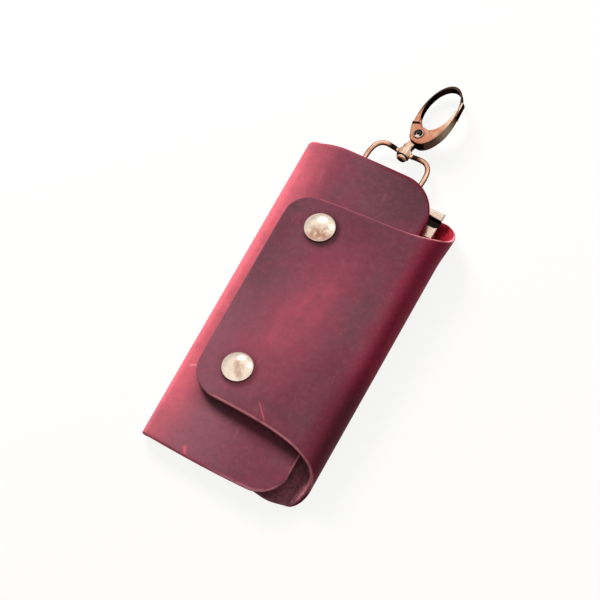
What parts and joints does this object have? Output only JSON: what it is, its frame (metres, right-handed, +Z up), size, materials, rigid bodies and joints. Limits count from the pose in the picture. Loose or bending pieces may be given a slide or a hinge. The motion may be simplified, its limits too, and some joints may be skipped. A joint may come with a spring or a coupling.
{
  "type": "leather key case",
  "caption": "Folded leather key case closed by press studs, with a row of gated key hooks on a plate inside and a swivel lever clasp on a strap.",
  "frame": {"origin": "on the outer face of the back panel, midway between the folds, near the middle of its length", "axes": "+Y along the case towards the clasp, +Z up from the back panel to the flaps, +X towards the wide right fold"},
  "size_m": [0.065, 0.1806, 0.0158],
  "materials": {
    "leather": "waxed pull-up leather, satin",
    "snap_metal": "polished pale gold",
    "plate_metal": "polished warm nickel",
    "hook_metal": "polished warm nickel",
    "clasp_metal": "polished antique copper",
    "spring_steel": "plain wire"
  },
  "bodies": {
    "case": {"back_panel": "leather", "left_fold": "leather", "right_fold": "leather", "clasp_strap": "leather", "key_plate": "plate_metal", "hook_rod": "plate_metal", "left_plate_rivet": "plate_metal", "right_plate_rivet": "plate_metal", "left_rivet_cap": "plate_metal", "right_rivet_cap": "plate_metal"},
    "outer_flap": {"outer_flap": "leather", "upper_snap_cap": "snap_metal", "upper_snap_socket": "snap_metal", "lower_snap_cap": "snap_metal", "lower_snap_socket": "snap_metal"},
    "inner_flap": {"inner_flap": "leather", "upper_snap_stud": "snap_metal", "upper_snap_post": "snap_metal", "lower_snap_stud": "snap_metal", "lower_snap_post": "snap_metal"},
    "swivel_eye": {"swivel_eye": "clasp_metal"},
    "clasp": {"swivel_stem": "clasp_metal", "clasp_hook": "clasp_metal", "gate_rivet": "clasp_metal", "gate_spring": "spring_steel"},
    "clasp_gate": {"clasp_gate": "clasp_metal"},
    "key_hook_1": {"key_hook_1": "hook_metal"},
    "hook_gate_1": {"hook_gate_1": "hook_metal"},
    "key_hook_2": {"key_hook_2": "hook_metal"},
    "hook_gate_2": {"hook_gate_2": "hook_metal"},
    "key_hook_3": {"key_hook_3": "hook_metal"},
    "hook_gate_3": {"hook_gate_3": "hook_metal"},
    "key_hook_4": {"key_hook_4": "hook_metal"},
    "hook_gate_4": {"hook_gate_4": "hook_metal"},
    "key_hook_5": {"key_hook_5": "hook_metal"},
    "hook_gate_5": {"hook_gate_5": "hook_metal"},
    "key_hook_6": {"key_hook_6": "hook_metal"},
    "hook_gate_6": {"hook_gate_6": "hook_metal"}
  },
  "joints": [
    {"name": "outer_flap_open", "type": "hinge", "parent": "case", "child": "outer_flap", "pos_m": [0.03381, -0.065, 0.00565], "axis": [0.0122, 0.9998, 0.0174], "range_deg": [0, 160], "deforming": ["right_fold"]},
    {"name": "inner_flap_lift", "type": "hinge", "parent": "case", "child": "inner_flap", "pos_m": [-0.03201, -0.065, 0.0025], "axis": [0.0156, -0.9997, -0.0181], "range_deg": [0, 40], "deforming": ["left_fold"]},
    {"name": "eye_tilt", "type": "hinge", "parent": "case", "child": "swivel_eye", "pos_m": [-0.00069, 0.06685, 0.00385], "axis": [0.9986, -0.0523, 0], "range_deg": [0, 40]},
    {"name": "clasp_swivel", "type": "hinge", "parent": "swivel_eye", "child": "clasp", "pos_m": [-0.00005, 0.07923, 0.00354], "axis": [0.0523, 0.9983, -0.0247], "continuous": true},
    {"name": "clasp_gate_open", "type": "hinge", "parent": "clasp", "child": "clasp_gate", "pos_m": [0.00214, 0.08773, 0.0038], "axis": [0.2572, -0.0374, -0.9656], "range_deg": [0, 45], "stiffness_Nm_per_rad": 0.01, "springref_deg": -11.46, "deforming": ["gate_spring"]},
    {"name": "hook_lift_1", "type": "hinge", "parent": "case", "child": "key_hook_1", "pos_m": [-0.02, 0.0527, 0.0051], "axis": [-1, 0, 0], "range_deg": [0, 5]},
    {"name": "hook_lift_2", "type": "hinge", "parent": "case", "child": "key_hook_2", "pos_m": [-0.012, 0.0527, 0.0051], "axis": [-1, 0, 0], "range_deg": [0, 5]},
    {"name": "hook_lift_3", "type": "hinge", "parent": "case", "child": "key_hook_3", "pos_m": [-0.004, 0.0527, 0.0051], "axis": [-1, 0, 0], "range_deg": [0, 5]},
    {"name": "hook_lift_4", "type": "hinge", "parent": "case", "child": "key_hook_4", "pos_m": [0.004, 0.0527, 0.0051], "axis": [-1, 0, 0], "range_deg": [0, 5]},
    {"name": "hook_lift_5", "type": "hinge", "parent": "case", "child": "key_hook_5", "pos_m": [0.012, 0.0527, 0.0051], "axis": [-1, 0, 0], "range_deg": [0, 5]},
    {"name": "hook_lift_6", "type": "hinge", "parent": "case", "child": "key_hook_6", "pos_m": [0.02, 0.0527, 0.0051], "axis": [-1, 0, 0], "range_deg": [0, 5]},
    {"name": "hook_gate_open_1", "type": "hinge", "parent": "key_hook_1", "child": "hook_gate_1", "pos_m": [-0.0172, 0.04085, 0.00402], "axis": [0, 0.0904, -0.9959], "range_deg": [0, 14], "stiffness_Nm_per_rad": 0.001, "springref_deg": -11.46},
    {"name": "hook_gate_open_2", "type": "hinge", "parent": "key_hook_2", "child": "hook_gate_2", "pos_m": [-0.0092, 0.04085, 0.00402], "axis": [0, 0.0904, -0.9959], "range_deg": [0, 14], "stiffness_Nm_per_rad": 0.001, "springref_deg": -11.46},
    {"name": "hook_gate_open_3", "type": "hinge", "parent": "key_hook_3", "child": "hook_gate_3", "pos_m": [-0.0012, 0.04085, 0.00402], "axis": [0, 0.0904, -0.9959], "range_deg": [0, 14], "stiffness_Nm_per_rad": 0.001, "springref_deg": -11.46},
    {"name": "hook_gate_open_4", "type": "hinge", "parent": "key_hook_4", "child": "hook_gate_4", "pos_m": [0.0068, 0.04085, 0.00402], "axis": [0, 0.0904, -0.9959], "range_deg": [0, 14], "stiffness_Nm_per_rad": 0.001, "springref_deg": -11.46},
    {"name": "hook_gate_open_5", "type": "hinge", "parent": "key_hook_5", "child": "hook_gate_5", "pos_m": [0.0148, 0.04085, 0.00402], "axis": [0, 0.0904, -0.9959], "range_deg": [0, 14], "stiffness_Nm_per_rad": 0.001, "springref_deg": -11.46},
    {"name": "hook_gate_open_6", "type": "hinge", "parent": "key_hook_6", "child": "hook_gate_6", "pos_m": [0.0228, 0.04085, 0.00402], "axis": [0, 0.0904, -0.9959], "range_deg": [0, 14], "stiffness_Nm_per_rad": 0.001, "springref_deg": -11.46}
  ],
  "couplings": [
    {"joint": "inner_flap_lift", "follows": "outer_flap_open", "ratio": 0.25}
  ]
}
